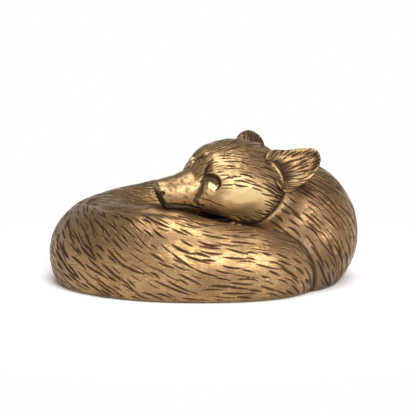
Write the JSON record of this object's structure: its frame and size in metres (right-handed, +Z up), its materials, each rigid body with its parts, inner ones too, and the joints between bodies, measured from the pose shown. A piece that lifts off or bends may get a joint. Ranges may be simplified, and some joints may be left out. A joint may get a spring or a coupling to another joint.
{
  "type": "sleeping fox figurine",
  "caption": "Curled sleeping fox ornament: ring-shaped body, brush laid round the front, head resting on it, cupped ears, plate and pads below.",
  "frame": {"origin": "middle of the whole figure's outline, on the surface that the felt pads stand on", "axes": "+X towards the fox's shoulder, along the longest extent; +Y away from the side with the face; +Z up"},
  "size_m": [0.154, 0.115, 0.0738],
  "materials": {
    "torso_patina": "antique gold rubbed over a dark brown wash, chiselled fur",
    "brush_patina": "antique gold rubbed over a dark brown wash, chiselled fur",
    "head_patina": "antique gold rubbed over a dark brown wash, smooth muzzle and chiselled cheeks",
    "ear_patina": "antique gold rubbed over a dark brown wash",
    "base_brass": "plain dull brass, as machined",
    "screw_brass": "turned brass",
    "felt": "dark brown felt"
  },
  "bodies": {
    "root": {"torso": "torso_patina", "brush": "brush_patina", "head": "head_patina", "near_ear": "ear_patina", "far_ear": "ear_patina", "base_plate": "base_brass", "base_screws": "screw_brass", "felt_pads": "felt", "brush_pins": "screw_brass", "head_screw": "screw_brass"}
  },
  "joints": []
}
